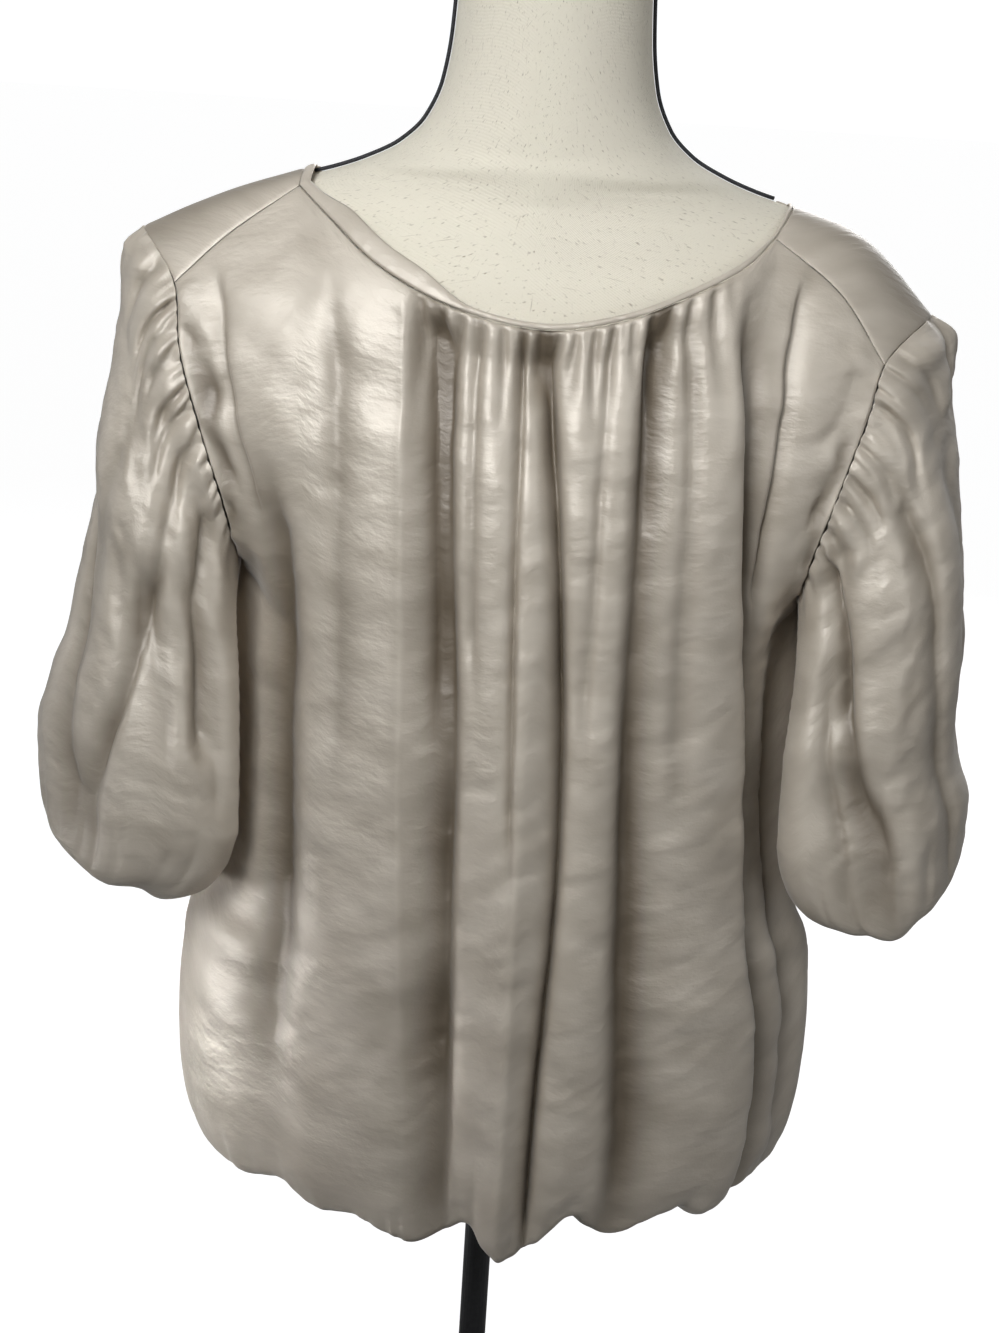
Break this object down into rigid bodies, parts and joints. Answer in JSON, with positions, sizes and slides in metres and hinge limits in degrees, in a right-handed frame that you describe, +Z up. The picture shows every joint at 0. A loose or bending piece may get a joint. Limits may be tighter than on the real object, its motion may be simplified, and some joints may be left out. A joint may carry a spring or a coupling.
{
  "type": "blouse on a limbless dress form with a pole stand",
  "caption": "Loose satin blouse with a gathered scoop neck, balloon sleeves and a bubble hem, worn by a limbless dress form on a pole and round base.",
  "frame": {"origin": "centre of the underside of the round base, on the floor", "axes": "+Z up; the front of the blouse faces -Y; +X is to the viewer's right from the front"},
  "size_m": [0.5621, 0.29, 0.9713],
  "materials": {
    "satin": "crinkled champagne satin with a soft sheen",
    "linen": "plain cream linen with darker flecks",
    "piping": "black corded piping",
    "black_metal": "satin black paint"
  },
  "bodies": {
    "root": {"front": "satin", "back": "satin", "yoke_left": "satin", "yoke_right": "satin", "sleeve_left": "satin", "sleeve_right": "satin", "cuff_band_left": "satin", "cuff_band_right": "satin", "neck_binding": "satin", "hem_band": "satin", "form_torso": "linen", "form_piping_left": "piping", "form_piping_right": "piping", "form_neck_cap": "black_metal", "pole": "black_metal", "pole_socket": "black_metal", "base": "black_metal"}
  },
  "joints": []
}
